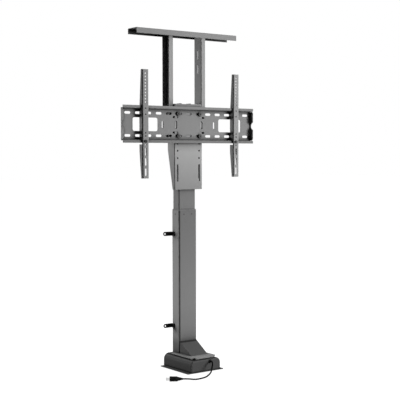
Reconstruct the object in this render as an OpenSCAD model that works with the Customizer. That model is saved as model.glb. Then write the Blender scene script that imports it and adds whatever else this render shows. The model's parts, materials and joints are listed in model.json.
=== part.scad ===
// Motorized television lift stand: a floor base with a screw drive, a telescoping steel
// column, a slotted television rail with two arms, and a frame that carries a cabinet lid.
// X runs to the right seen from the front, Y to the rear, Z up from the floor.
// The stand is drawn raised to its highest position.

/* [Base] */
// Width of the base plate over its side flanges
base_w = 182; // [178:1:240]
// Depth of the base plate and of the housing on it
base_d = 192; // [188:1:240]
// Thickness of the base plate
base_t = 3; // [2.5:0.5:6]
// Width of the base housing
housing_w = 146; // [136:1:150]
// Height of the base housing above the base plate
housing_h = 51; // [50:1:60]
// Sheet thickness of the base housing
housing_t = 2; // [1.5:0.5:3]
// Outer bend radius of the housing's long top edges
housing_r = 24; // [8:1:25]
// Diameter of the floor screw holes in the base flanges
floor_hole_d = 7; // [5:0.5:8]
// Distance from the housing's rear to the column's rear
column_setback = 21; // [18:1:25]

/* [Column] */
// Width of the outer column
outer_w = 90; // [88:1:96]
// Depth of the outer column
outer_d = 50; // [50:1:54]
// Length of the outer column
outer_len = 650; // [600:5:800]
// Wall of the outer column
outer_t = 1.5; // [1.5:0.1:2]
// Corner radius of the outer column
outer_r = 5; // [4:0.5:6]
// Width of the inner column
inner_w = 84; // [80:0.5:84]
// Depth of the inner column
inner_d = 42; // [40:0.5:42]
// Wall of the inner column
inner_t = 2; // [1.5:0.1:2.5]
// Length of the inner column
inner_len = 560; // [560:1:600]
// Travel of the lift
stroke = 420; // [300:5:420]

/* [Carrier] */
// Width of the carrier bracket
carrier_w = 142; // [140:1:150]
// Height of the carrier bracket
carrier_h = 350; // [330:1:380]
// Depth of the carrier's side flanges
carrier_d = 46.5; // [44:0.5:50]
// Depth that the side flanges keep at the lower end
carrier_tip_d = 13.5; // [10:0.5:20]
// Sheet thickness of the carrier
carrier_t = 2.5; // [2:0.5:3]
// Height above the lower end where the flanges reach their full depth
carrier_taper_h = 165; // [140:5:180]
// Half the distance between the two columns of holes
bolt_x = 55; // [53:0.5:57]

/* [Television rail] */
// Length of the rail
rail_w = 664; // [640:1:700]
// Height of the rail over its lips
rail_h = 148; // [146:1:152]
// Depth of the rail from plate to lip
rail_depth = 17; // [15:0.5:20]
// Sheet thickness of the rail
rail_t = 2.5; // [2:0.5:3]
// Height of each lip
lip_h = 12; // [10:0.5:14]
// Distance between slot centres along the rail
slot_pitch = 50; // [48:0.5:50]
// Length of a rail slot
slot_len = 29; // [24:0.5:32]
// Height of a rail slot
slot_h = 10; // [9:0.5:12]
// Half the distance between the two rows of slots
row_z = 45; // [43:0.5:46]
// Distance from the carrier's top to the rail's middle
rail_drop = 86; // [84:1:88]

/* [Arms] */
// Length of a television arm
arm_len = 430; // [426:1:460]
// Width of an arm's face
arm_w = 31.5; // [26:0.5:34]
// Sheet thickness of an arm
arm_t = 2; // [1.5:0.5:2.5]
// Distance of the left arm from the middle
left_arm_x = 230; // [200:1:260]
// Distance of the right arm from the middle
right_arm_x = 232; // [200:1:260]
// Distance between television screw holes
arm_hole_pitch = 12.5; // [12:0.5:13]
// Diameter of the television screw holes
arm_hole_d = 6; // [5:0.5:6.5]

/* [Lid frame] */
// Width of the lid bracket
lid_w = 506; // [400:2:600]
// Depth of the lid bracket
lid_d = 64; // [60:1:80]
// Height of the lid bracket's flanges
lid_h = 22; // [18:1:30]
// Sheet thickness of the lid bracket and the posts
lid_t = 2; // [1.5:0.5:2.5]
// Distance from the carrier's top to the lid bracket's top
lid_rise = 295; // [270:5:340]
// Depth of a post from front to rear
post_d = 48; // [44:1:52]
// Width of a post's flanges
post_w = 20.5; // [18:0.5:24]
// Length of an adjustment slot in a post
post_slot_len = 37; // [34:1:40]

/* [Drive] */
// Diameter of the lift screw
screw_d = 16; // [14:1:18]
// Diameter of the motor
motor_d = 40; // [34:1:40]
// Length of the motor
motor_len = 56; // [50:1:60]

/* [Fixing tabs] */
// Height of the lower tab
lower_tab_z = 172; // [140:1:240]
// Distance from the column's top down to the upper tab
upper_tab_drop = 97; // [60:1:150]
// Reach of a tab beyond the column's side
tab_reach = 43; // [35:1:50]
// Height of a tab
tab_h = 17; // [14:1:22]
// Diameter of a tab's hole
tab_hole_d = 8; // [5:0.5:9]

/* [Cable] */
// Diameter of the motor cable
cable_d = 6; // [4:0.5:6]

/* [Hidden] */
$fn = 48;

// Clearances
seat_gap = 0.1;
slide_gap = 0.3;
run_gap = 0.05;
through = 1;
cut_len = 99;

// Column stack, from the floor up
column_y = base_d / 2 - column_setback - outer_d / 2;
base_top = base_t;
housing_top = base_top + housing_h;
outer_top = base_top + outer_len;
collar_cap_t = 5;
collar_edge_h = 2;
collar_slope = 1.6;
collar_set_in = 0.5;
collar_notch_w = 8;
collar_depth = 40;
button_x = 20;
button_drop = 15;
button_d = 6;
button_root = 0.5;
button_proud = 0.3;
inner_r = 4;
head_t = 8;
lowered_gap = 1.5;
inner_top = outer_top + collar_cap_t + lowered_gap + stroke;
inner_bottom = inner_top - inner_len;
head_top = inner_top + head_t;
carrier_top = head_top + carrier_t;
carrier_bottom = carrier_top - carrier_h;
rail_z = carrier_top - rail_drop;
lid_top = carrier_top + lid_rise;

// Layers in front of the column, measured from its axis
carrier_gap = 3;
carrier_back = -(outer_d / 2 + carrier_gap);
carrier_front = carrier_back - carrier_t;
rail_front = carrier_front - rail_t;
lip_front = rail_front - rail_depth;
arm_proud = 7;
arm_front = lip_front - arm_proud;
arm_rail_gap = 2.5;
arm_back = rail_front - arm_rail_gap;
bend_r = 3;

// Carrier details
carrier_hole_d = 8;
carrier_hole_z = [129, 159, 188];
carrier_slot_w = 8;
carrier_slot_z = [33, 104];
head_screw_x = 24;
head_screw_y = 8;
head_screw_d = 6;
head_screw_head_d = 11;
head_screw_head_t = 3.5;
head_screw_short = 0.5;
head_flange_rear = 14;
flange_relief = 6;
relief_depth = 20;
relief_h = 8;

// Rail details
lip_flange_z = rail_h / 2 - lip_h;
slot_count = 13;
window_x = 215.5;
window_w = 121;
window_h = 54;
window_r = 8;
cable_slot_x = 131;
cable_slot_w = 8.5;
cable_slot_h = 28;
edge_slot_x = 65;
edge_slot_w = 12;
edge_slot_h = 33;
short_slot_x = 67;
short_slot_z = 31;
short_slot_len = 28;
short_slot_h = 8;
notch_r = 16;
notch_depth = 12.5;
rail_corner = 6;
lip_bend_r = 5;
end_bend_r = 5;

// Arm details
arm_r = 5;
arm_tip_d = 10;
arm_upper_taper = 165;
arm_lower_taper = 105;
arm_first_hole = 16;
arm_hole_count = 10;
arm_rail_holes = [62, 38, -35, -47, -82];
arm_slot_z = [-190, -149.5, -109.5];
arm_slot_len = 30;
arm_slot_w = 7;
hook_gap = 1.5;
lock_z = -(rail_h / 2 - lip_h / 2);
lock_d = 6;
lock_head_d = 11;
lock_head_t = 4;

// Bolts that hold the rail
rail_bolt_d = 8;
rail_washer_d = 18;
rail_washer_t = 1.6;
rail_head_d = 14;
rail_head_t = 4;
rail_nut_af = 13;
rail_nut_t = 6.5;

// Posts
post_gap = 0.3;
post_x = carrier_w / 2 + post_gap;
post_front = carrier_front + 6;
post_mid = post_front + post_d / 2;
post_overlap = 155;
post_bottom = carrier_top - post_overlap;
post_top = lid_top - lid_t;
post_slots = [55, 115, 301, 361];
post_slot_w = 8;
post_bolt_d = 6;
post_head_d = 12;
post_head_t = 4;
post_nut_af = 10;
post_nut_t = 5;
post_washer_d = 16;
post_washer_t = 1.5;
lid_screw_d = 5;
lid_screw_head_d = lid_screw_d + 3;
lid_screw_head_t = 1.5;
lid_screw_y = 12;
lid_hole_x = 230;
lid_hole_y = 20;
lid_hole_d = 5;

// Fixing tabs and their screws
upper_tab_z = outer_top - upper_tab_drop;
tab_t = 3;
tab_edge = 7;
tab_clear = 1.5;
tab_front = post_mid + post_d / 2 + tab_clear;
tab_screw_d = 4;
tab_screw_head_d = 7;
tab_screw_head_t = 1.2;
tab_screw_y = 12;

// Base details
floor_hole_x = (base_w + housing_w) / 4;
floor_hole_y = base_d / 2 - 21;
base_corner_r = 2;
boss_d = 12;
boss_h = 20;
boss_x = housing_w / 2 - housing_t - boss_d / 2 - seat_gap;
boss_y = base_d / 2 - housing_t - boss_d / 2 - seat_gap;
m4 = 4;
m4_head_d = 7.5;
m4_head_t = 2.2;
foot_t = 6;
foot_gap = 0.1;
foot_screw_x = 36;
foot_screw_y = 15;
foot_screw_d = 6;
foot_screw_bite = 10;
foot_head_d = 11;
foot_head_t = 2.6;

// Motor cover
cover_t = 1.5;
cover_w = 84;
cover_top_h = 57;
cover_run = 90;
cover_rim_h = 7;
cover_rim_lift = 1.5;
cover_flange_x = 59;
cover_flange_front = 28;
cover_flange_rear = 37;
cover_notch = 12;
cover_screw_x = cover_w / 2 + 4;
cover_screw_setback = 6;
cover_screw_d = 3;
cover_screw_head_d = 6;
cover_screw_head_t = 1.5;
cover_angle = atan2(cover_top_h, cover_run);
cover_rear = column_y - outer_d / 2 - slide_gap;
cover_foot = cover_rear - cover_run;

// Drive, measured from the column axis
drive_z = 36;
worm_x = -19;
worm_d = 12;
worm_len = 22;
worm_shaft_d = 6;
wheel_d = 25;
wheel_teeth = 20;
wheel_t = 10;
wheel_hub_d = 18;
tooth_gap_d = 2;
gearbox_w = outer_w - 2 * outer_t - 5;
gearbox_d = outer_d - 2 * outer_t - 3;
gearbox_z = base_top + foot_t + seat_gap;
gearbox_h = 48;
gearbox_lid_t = 6;
gearbox_r = 3;
gearbox_screw_bite = 10;
gearbox_screw_spare = 4;
gearbox_cavity_w = 62;
gearbox_cavity_d = 34;
gearbox_cavity_z = 24;
gearbox_top = gearbox_z + gearbox_h;
nose_d = 34;
nose_front = -(outer_d / 2 + 4);
journal_d = 12;
bearing_od = 28;
bearing_t = 8;
bearing_ring = 3;
lower_bearing_z = gearbox_z + 5;
upper_bearing_z = gearbox_top - gearbox_lid_t;
bearing_cap_h = 5;
screw_bottom = lower_bearing_z;
screw_guide_rise = 80;
screw_guide_z = inner_bottom + screw_guide_rise;
screw_guide_t = 12;
end_bolt_d = 6;
end_bolt_bite = 12;
end_bolt_spare = 2;
end_bolt_head_d = 12;
end_bolt_head_t = 4;
screw_top = screw_guide_z;
shoulder_z = upper_bearing_z + bearing_t;
glide_flange_t = 12;
glide_plug_h = 26;
nut_d = 26;
nut_flange_d = 34;
nut_flange_t = 6;
nut_screw_r = 15;
nut_screw_d = 3;
nut_screw_len = 14;
nut_screw_head_d = 3.8;
nut_screw_head_t = 1.5;
glide_pin_x = 30;
glide_pin_d = 4;
bush_od = 10;
bush_t = 6;
bush_reach = gearbox_cavity_d / 2 + bush_t - 2;

// Motor, its axis along Y
motor_back = nose_front - seat_gap;
motor_front = motor_back - motor_len;
end_cap_t = 8;
can_t = 2;
rotor_d = 24;
rotor_len = 30;
magnet_t = 5;
magnet_split = 8;
rotor_slots = 10;
rotor_slot_d = 2.4;
motor_screw_d = 3;
motor_screw_r = 13;
motor_screw_head_d = 5.5;
motor_screw_head_t = 2;

// Cable route, along the floor to the plug
grommet_z = 41;
grommet_x = 22;
grommet_d = 12;
grommet_rim = 3;
grommet_rim_t = 2;
sleeve_root = 5;
sleeve_tip = 2.5;
sleeve_len = 6;
plug_start = [-176, -178, 10.4];
plug_angle = 144;
plug_len = 53;
plug_r = 10.2;
plug_tail_r = 4;
plug_shoulder_r = 9.2;
plug_taper_len = 25;
shell_r = 7;
shell_len = 15;
shell_t = 0.6;
pin_r = 0.7;
pin_ring_r = 3.2;
pin_count = 4;
lead_gap = 1.6;
cable_route = [[22, -95, 41], [22, -105, 41], [21.5, -110.5, 39.5], [20, -114.5, 35.5],
    [17.5, -117, 29.5], [15, -118, 22.5], [12, -119.5, 15.5], [7.5, -123, 9.4], [0.5, -129, 5],
    [-9, -137, 3.2], [-20, -146.5, 3.2], [-32, -157, 3.2], [-45, -167, 3.2], [-59, -176.5, 3.2],
    [-74, -183.5, 3.2], [-89, -187.5, 3.2], [-103, -189.5, 3.2], [-116, -190.5, 3.4],
    [-128, -191.5, 4.6], [-140, -192, 6.6], [-150, -191.3, 8.6], [-160, -188.6, 10],
    [-168, -183.8, 10.4], [-176, -178, 10.4]];

steel_gray = [0.32, 0.32, 0.33];
dark_gray = [0.16, 0.16, 0.17];
black = [0.05, 0.05, 0.05];
zinc = [0.72, 0.72, 0.7];
pom = [0.1, 0.1, 0.1];

// Flat shapes

module rounded(w, d, r) {
    square([w - 2 * r, d], center = true);
    square([w, d - 2 * r], center = true);
    for (x = [-1, 1], y = [-1, 1])
        translate([x * (w / 2 - r), y * (d / 2 - r)]) circle(r);
}

// A slot along X with round ends
module slot_shape(length, width) {
    square([length - width, width], center = true);
    for (x = [-1, 1])
        translate([x * (length - width) / 2, 0]) circle(width / 2);
}

module tube_shape(w, d, t, r) {
    difference() {
        rounded(w, d, r);
        rounded(w - 2 * t, d - 2 * t, r - t);
    }
}

// A channel whose web lies at Y = 0 and whose flanges run to +Y
module channel_shape(w, d, t, r) {
    intersection() {
        translate([0, d]) tube_shape(w, 2 * d, t, r);
        translate([-w / 2, 0]) square([w, d]);
    }
}

// Placing

module at_column() {
    translate([0, column_y, 0]) children();
}

// A hole, pin or slot that runs through a plate facing the front
module facing_front(x, y, z) {
    translate([x, y, z]) rotate([90, 0, 0]) children();
}

module mirrored_x() {
    children();
    mirror([1, 0, 0]) children();
}

// A pan head screw that points along -Z, its head above Z = 0
module pan_screw(d, length, head_d, head_t) {
    difference() {
        union() {
            cylinder(d = head_d, h = head_t);
            translate([0, 0, -length]) cylinder(d = d, h = length);
        }
        translate([0, 0, head_t / 2]) cylinder(d = d * 0.7, h = head_t, $fn = 6);
    }
}

// A countersunk screw that points along +Z, its head flush with Z = 0
module countersunk_screw(d, length, head_d, head_t) {
    difference() {
        union() {
            cylinder(d1 = head_d, d2 = d, h = head_t);
            cylinder(d = d, h = length);
        }
        translate([0, 0, -through]) cylinder(d = d * 0.6, h = head_t / 2 + through, $fn = 6);
    }
}

module countersunk_hole(d, length, head_d, head_t) {
    cylinder(d1 = head_d + 2 * seat_gap, d2 = d + 2 * seat_gap, h = head_t);
    translate([0, 0, -through]) cylinder(d = d + 2 * seat_gap, h = length + 2 * through);
}

// Base

module base_plate() color(dark_gray) difference() {
    linear_extrude(base_t) rounded(base_w, base_d, base_corner_r);
    for (x = [-1, 1], y = [-1, 1]) {
        translate([x * floor_hole_x, y * floor_hole_y, -through])
            cylinder(d = floor_hole_d, h = base_t + 2 * through);
        translate([x * boss_x, y * boss_y, 0])
            countersunk_hole(m4, base_t, m4_head_d, m4_head_t);
    }
    at_column() for (x = [-1, 1], y = [-1, 1])
        translate([x * foot_screw_x, y * foot_screw_y, 0])
            countersunk_hole(foot_screw_d, base_t, foot_head_d, foot_head_t);
}

// The housing's outline seen from the front, its lower edge at -drop
module housing_outline(inset, drop) {
    w = housing_w - 2 * inset;
    r = housing_r - inset;
    h = housing_h - inset;
    translate([-w / 2, -drop]) square([w, h - r + drop]);
    translate([-w / 2 + r, -drop]) square([w - 2 * r, h + drop]);
    for (x = [-1, 1])
        translate([x * (w / 2 - r), h - r]) circle(r);
}

module base_housing() color(dark_gray) {
    difference() {
        facing_front(0, base_d / 2, base_top)
            linear_extrude(base_d) housing_outline(0, 0);
        facing_front(0, base_d / 2 - housing_t, base_top)
            linear_extrude(base_d - 2 * housing_t) housing_outline(housing_t, through);
        at_column() translate([0, 0, housing_top - housing_t - through])
            linear_extrude(housing_t + 2 * through)
                rounded(outer_w + 2 * slide_gap, outer_d + 2 * slide_gap, outer_r + slide_gap);
        motor_opening();
        facing_front(grommet_x, -base_d / 2 + housing_t + through, grommet_z)
            cylinder(d = grommet_d, h = housing_t + 2 * through);
        cover_screw_places() translate([0, 0, -2 * housing_t])
            cylinder(d = cover_screw_d + 2 * run_gap, h = 4 * housing_t);
    }
    for (x = [-1, 1], y = [-1, 1])
        translate([x * boss_x, y * boss_y, base_top]) difference() {
            union() {
                cylinder(d = boss_d, h = boss_h);
                translate([x > 0 ? 0 : -boss_d / 2 - seat_gap, -boss_d / 4, 0])
                    cube([boss_d / 2 + seat_gap, boss_d / 2, boss_h]);
            }
            translate([0, 0, -through]) cylinder(d = m4 + 2 * run_gap, h = boss_h - through);
        }
}

// The opening in the housing's top that the motor and gearbox nose stand in, under the cover
module motor_opening() {
    front = cover_foot + 5;
    translate([-cover_w / 2 + 4, front, housing_top - housing_t - through])
        cube([cover_w - 8, cover_run - 3, housing_t + 2 * through]);
}

module housing_screws() color(zinc)
    for (x = [-1, 1], y = [-1, 1])
        translate([x * boss_x, y * boss_y, 0])
            countersunk_screw(m4, boss_h / 2, m4_head_d, m4_head_t);

// Where the motor cover's screws go through its flanges
module cover_screw_places() {
    for (x = [-1, 1], y = [cover_rear - cover_screw_setback, cover_foot + cover_run / 4])
        translate([x * cover_screw_x, y, housing_top]) children();
}

// The wedge seen from the side: its slope set in by the inset, its foot and its
// rear carried on by the overlap
module wedge_solid(inset, overlap) {
    w = cover_w - 2 * inset;
    foot = -cover_run + inset / sin(cover_angle) - overlap / tan(cover_angle);
    translate([-w / 2, cover_rear, housing_top]) rotate([90, 0, 90]) linear_extrude(w)
        polygon([[foot, -overlap], [overlap, -overlap],
            [overlap, (overlap - foot) * tan(cover_angle) - overlap]]);
}

module motor_cover() color(dark_gray) difference() {
    union() {
        wedge_solid(0, 0);
        cover_flange();
    }
    wedge_solid(cover_t, through);
    at_column() translate([0, 0, housing_top - through])
        linear_extrude(2 * cover_top_h)
            rounded(outer_w + 2 * slide_gap, outer_d + 2 * slide_gap, outer_r + slide_gap);
    cover_screw_places() translate([0, 0, cover_rim_h]) mirror([0, 0, 1])
        countersunk_hole(cover_screw_d, cover_rim_h, cover_screw_head_d, cover_screw_head_t);
}

// The outline of the cover's flange, set in by the inset, its front corners notched
module cover_outline(inset) {
    x_half = cover_flange_x - inset;
    front = cover_foot - cover_flange_front + inset;
    notch = cover_notch + inset;
    difference() {
        translate([-x_half, front])
            square([2 * x_half, cover_rear + cover_flange_rear - inset - front]);
        for (x = [-1, 1])
            translate([x * cover_flange_x, front - inset])
                square([2 * notch, 2 * notch], center = true);
    }
}

// A shallow tray, open below, that stands on its screw bosses and on the wedge's walls
module cover_flange() translate([0, 0, housing_top]) {
    difference() {
        translate([0, 0, cover_rim_lift])
            linear_extrude(cover_rim_h - cover_rim_lift) cover_outline(0);
        translate([0, 0, cover_rim_lift - through])
            linear_extrude(cover_rim_h - cover_t - cover_rim_lift + through)
                cover_outline(cover_t);
    }
    translate([0, 0, -housing_top]) cover_screw_places()
        cylinder(d = cover_screw_head_d + 1, h = cover_rim_h);
}

module cover_screws() color(dark_gray)
    cover_screw_places() translate([0, 0, cover_rim_h]) mirror([0, 0, 1])
        countersunk_screw(cover_screw_d, cover_rim_h + housing_t + 3, cover_screw_head_d,
            cover_screw_head_t);

module column_foot() color(steel_gray) at_column() difference() {
    w = outer_w - 2 * (outer_t + foot_gap);
    d = outer_d - 2 * (outer_t + foot_gap);
    translate([0, 0, base_top]) linear_extrude(foot_t) rounded(w, d, outer_r - outer_t);
    for (x = [-1, 1], y = [-1, 1])
        translate([x * foot_screw_x, y * foot_screw_y, base_top - through])
            cylinder(d = foot_screw_d + 2 * run_gap, h = foot_t + 2 * through);
}

module foot_screws() color(zinc) at_column()
    for (x = [-1, 1], y = [-1, 1])
        translate([x * foot_screw_x, y * foot_screw_y, 0])
            countersunk_screw(foot_screw_d, base_t + foot_t + foot_screw_bite, foot_head_d,
                foot_head_t);

// Column

// Places of the collar's snap buttons, each turned to face outwards
module button_places(reach_x, reach_y) {
    z = outer_top - button_drop;
    for (x = [-button_x, button_x]) {
        translate([x, -reach_y, z]) rotate([90, 0, 0]) children();
        translate([x, reach_y, z]) rotate([-90, 0, 0]) children();
    }
    translate([-reach_x, 0, z]) rotate([0, -90, 0]) children();
    translate([reach_x, 0, z]) rotate([0, 90, 0]) children();
}

module outer_column() color(steel_gray) at_column() difference() {
    translate([0, 0, base_top]) linear_extrude(outer_len)
        tube_shape(outer_w, outer_d, outer_t, outer_r);
    button_places(outer_w / 2 - outer_t - through, outer_d / 2 - outer_t - through)
        cylinder(d = button_d + 2 * seat_gap, h = outer_t + 2 * through);
    translate([worm_x, -outer_d / 2, drive_z]) rotate([90, 0, 0])
        cylinder(d = nose_d + 1, h = 4 * outer_t, center = true);
    for (z = [lower_tab_z, upper_tab_z], dz = [-1, 1])
        translate([-outer_w / 2, tab_screw_y, z + dz * tab_h / 4]) rotate([0, 90, 0])
            cylinder(d = tab_screw_d + 2 * run_gap, h = 4 * outer_t, center = true);
}

// The collar's cap seen from one side: an upright edge with a slope above it
module collar_outline(half) {
    polygon([[-half, 0], [half, 0], [half, collar_edge_h], [half - collar_slope, collar_cap_t],
        [collar_slope - half, collar_cap_t], [-half, collar_edge_h]]);
}

module guide_collar() color(steel_gray) at_column() {
    w = outer_w - 2 * (outer_t + seat_gap);
    d = outer_d - 2 * (outer_t + seat_gap);
    bore_w = inner_w + 2 * slide_gap;
    bore_d = inner_d + 2 * slide_gap;
    bore_r = inner_r + slide_gap;
    translate([0, 0, outer_top - collar_depth]) linear_extrude(collar_depth) difference() {
        rounded(w, d, outer_r - outer_t - seat_gap);
        rounded(bore_w, bore_d, bore_r);
    }
    translate([0, 0, outer_top]) difference() {
        intersection() {
            linear_extrude(collar_cap_t) rounded(outer_w - 2 * collar_set_in,
                outer_d - 2 * collar_set_in, outer_r - collar_set_in);
            rotate([90, 0, 0]) linear_extrude(2 * outer_d, center = true)
                collar_outline(outer_w / 2 - collar_set_in);
            rotate([90, 0, 90]) linear_extrude(2 * outer_w, center = true)
                collar_outline(outer_d / 2 - collar_set_in);
        }
        translate([0, 0, -through]) linear_extrude(collar_cap_t + 2 * through)
            rounded(bore_w, bore_d, bore_r);
        translate([-collar_notch_w / 2, -outer_d / 2, collar_edge_h / 2])
            cube([collar_notch_w, collar_edge_h, collar_cap_t]);
    }
    button_places(w / 2 - button_root, d / 2 - button_root)
        cylinder(d = button_d, h = outer_t + button_proud);
}

// An angle on the column's side, its plate just behind the way of the lid frame's post
module fixing_tab(z) color(black) at_column() {
    rear = tab_front + tab_t;
    leg = rear - tab_screw_y + tab_edge;
    translate([-outer_w / 2 - tab_t, rear - leg, z - tab_h / 2]) difference() {
        cube([tab_t, leg, tab_h]);
        for (dz = [-1, 1])
            translate([-through, tab_edge, tab_h / 2 + dz * tab_h / 4])
                rotate([0, 90, 0])
                    cylinder(d = tab_screw_d + 2 * run_gap, h = tab_t + 2 * through);
    }
    translate([-outer_w / 2 - tab_reach + tab_h / 2, rear, z]) rotate([90, 0, 0])
        linear_extrude(tab_t) difference() {
            union() {
                circle(tab_h / 2);
                translate([0, -tab_h / 2]) square([tab_reach - tab_h / 2 - tab_t / 2, tab_h]);
            }
            circle(tab_hole_d / 2);
        }
}

module lower_fixing_tab() fixing_tab(lower_tab_z);

module upper_fixing_tab() fixing_tab(upper_tab_z);

module tab_screws() color(black) at_column()
    for (z = [lower_tab_z, upper_tab_z], dz = [-1, 1])
        translate([-outer_w / 2 - tab_t, tab_screw_y, z + dz * tab_h / 4])
            rotate([0, -90, 0])
                pan_screw(tab_screw_d, tab_t + outer_t - seat_gap, tab_screw_head_d,
                    tab_screw_head_t);

module inner_column() color(steel_gray) at_column() difference() {
    translate([0, 0, inner_bottom]) linear_extrude(inner_len)
        tube_shape(inner_w, inner_d, inner_t, inner_r);
    glide_pin_places() cylinder(d = glide_pin_d + 2 * run_gap, h = 2 * inner_d, center = true);
}

// Drive

module gearbox_housing() color(zinc) at_column() difference() {
    union() {
        translate([0, 0, gearbox_z])
            linear_extrude(gearbox_h - gearbox_lid_t) rounded(gearbox_w, gearbox_d, gearbox_r);
        facing_front(worm_x, -gearbox_d / 2, drive_z)
            cylinder(d = nose_d, h = -nose_front - gearbox_d / 2);
    }
    translate([0, 0, gearbox_cavity_z])
        linear_extrude(gearbox_h) rounded(gearbox_cavity_w, gearbox_cavity_d, gearbox_r);
    translate([0, 0, lower_bearing_z]) cylinder(d = bearing_od + 2 * run_gap, h = gearbox_h);
    translate([0, 0, lower_bearing_z - 1]) cylinder(d = bearing_od - 2 * bearing_ring, h = 2);
    facing_front(worm_x, 0, drive_z) cylinder(d = worm_shaft_d + 1, h = 2 * gearbox_d);
    facing_front(worm_x, bush_reach, drive_z)
        cylinder(d = bush_od + 2 * run_gap, h = 2 * bush_reach);
    for (x = [-1, 1], y = [-1, 1])
        translate([x * foot_screw_x, y * foot_screw_y, gearbox_z - through])
            cylinder(d = foot_screw_d + 2 * run_gap, h = foot_screw_bite + 2);
    gearbox_screw_places() translate([0, 0, -gearbox_screw_bite - gearbox_screw_spare])
        cylinder(d = m4 + 2 * run_gap, h = 20);
    motor_screw_places() translate([0, 0, -8]) cylinder(d = motor_screw_d + 2 * run_gap, h = 10);
}

module gearbox_screw_places() {
    for (x = [-1, 1], y = [-1, 1])
        translate([x * (gearbox_w / 2 - 5), y * (gearbox_d / 2 - 5),
            gearbox_top - gearbox_lid_t]) children();
}

module gearbox_cover() color(zinc) at_column() difference() {
    union() {
        translate([0, 0, gearbox_top - gearbox_lid_t])
            linear_extrude(gearbox_lid_t) rounded(gearbox_w, gearbox_d, gearbox_r);
        translate([0, 0, gearbox_top])
            cylinder(d = bearing_od + 6, h = bearing_cap_h);
    }
    translate([0, 0, upper_bearing_z - through])
        cylinder(d = bearing_od + 2 * run_gap, h = bearing_t + through);
    cylinder(d = bearing_od - 2 * bearing_ring, h = 2 * gearbox_top);
    gearbox_screw_places() translate([0, 0, -through])
        cylinder(d = m4 + 2 * seat_gap, h = gearbox_lid_t + 2 * through);
}

module gearbox_screws() color(zinc) at_column()
    gearbox_screw_places() translate([0, 0, gearbox_lid_t])
        pan_screw(m4, gearbox_lid_t + gearbox_screw_bite, m4_head_d, m4_head_t);

module bearing_ring_shape(outside, inside) {
    difference() {
        cylinder(d = outside, h = bearing_t);
        translate([0, 0, -through]) cylinder(d = inside, h = bearing_t + 2 * through);
    }
}

module bearing_outer_rings() color(zinc) at_column()
    for (z = [lower_bearing_z, upper_bearing_z])
        translate([0, 0, z]) bearing_ring_shape(bearing_od, bearing_od - 2 * bearing_ring);

module bearing_inner_rings() color(zinc) at_column()
    for (z = [lower_bearing_z, upper_bearing_z])
        translate([0, 0, z]) bearing_ring_shape(bearing_od - 2 * bearing_ring - 2 * slide_gap,
            journal_d + 2 * run_gap);

module lead_screw() color(zinc) at_column() difference() {
    union() {
        translate([0, 0, screw_bottom])
            cylinder(d = journal_d, h = shoulder_z + 2 - screw_bottom);
        translate([0, 0, shoulder_z]) cylinder(d = screw_d, h = screw_top - shoulder_z);
    }
    translate([0, 0, screw_top - end_bolt_bite - end_bolt_spare])
        cylinder(d = end_bolt_d + 2 * run_gap, h = 20);
}

module worm_wheel() color("goldenrod") at_column() difference() {
    union() {
        translate([0, 0, drive_z - wheel_t / 2]) cylinder(d = wheel_d, h = wheel_t);
        translate([0, 0, lower_bearing_z + bearing_t]) cylinder(d = wheel_hub_d,
            h = upper_bearing_z - lower_bearing_z - bearing_t - seat_gap);
    }
    cylinder(d = journal_d + 2 * run_gap, h = 2 * gearbox_top);
    for (i = [0 : wheel_teeth - 1])
        rotate([0, 0, i * 360 / wheel_teeth])
            translate([wheel_d / 2, 0, drive_z])
                cylinder(d = tooth_gap_d, h = 2 * wheel_t, center = true);
}

module screw_end_guide() color(pom) at_column() difference() {
    translate([0, 0, screw_guide_z])
        cylinder(d = inner_d - 2 * inner_t - 2 * slide_gap, h = screw_guide_t);
    translate([0, 0, screw_guide_z - through])
        cylinder(d = end_bolt_d + 2 * seat_gap, h = screw_guide_t + 2 * through);
}

module end_guide_bolt() color(zinc) at_column()
    translate([0, 0, screw_guide_z + screw_guide_t])
        pan_screw(end_bolt_d, screw_guide_t + end_bolt_bite, end_bolt_head_d, end_bolt_head_t);

module worm_bushes() color("goldenrod") at_column()
    for (y = [bush_reach, bush_t - bush_reach])
        facing_front(worm_x, y, drive_z) difference() {
            cylinder(d = bush_od, h = bush_t);
            translate([0, 0, -through])
                cylinder(d = worm_shaft_d + 2 * run_gap, h = bush_t + 2 * through);
        }

module worm_shaft() color(zinc) at_column() {
    rear = bush_reach - 1;
    front = motor_front - 2;
    facing_front(worm_x, rear, drive_z) cylinder(d = worm_shaft_d, h = rear - front);
    facing_front(worm_x, worm_len / 2, drive_z) cylinder(d = worm_d, h = worm_len);
}

module rotor_core() color("darkgray") at_column() {
    mid = (motor_back + motor_front) / 2;
    facing_front(worm_x, mid + rotor_len / 2, drive_z) difference() {
        cylinder(d = rotor_d, h = rotor_len);
        translate([0, 0, -through])
            cylinder(d = worm_shaft_d + 2 * run_gap, h = rotor_len + 2 * through);
        for (i = [0 : rotor_slots - 1]) rotate([0, 0, i * 360 / rotor_slots])
            translate([rotor_d / 2, 0, -through])
                cylinder(d = rotor_slot_d, h = rotor_len + 2 * through);
    }
}

module motor_screw_places() {
    for (z = [-1, 1])
        facing_front(worm_x, nose_front, drive_z + z * motor_screw_r) children();
}

module motor_can() color(zinc) at_column() difference() {
    facing_front(worm_x, motor_back, drive_z) difference() {
        cylinder(d = motor_d, h = motor_len);
        translate([0, 0, can_t]) cylinder(d = motor_d - 2 * can_t, h = motor_len);
        translate([0, 0, -through]) cylinder(d = worm_shaft_d + 1, h = 3 * can_t);
    }
    motor_screw_places() translate([0, 0, -through])
        cylinder(d = motor_screw_d + 2 * seat_gap, h = 10);
}

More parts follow.
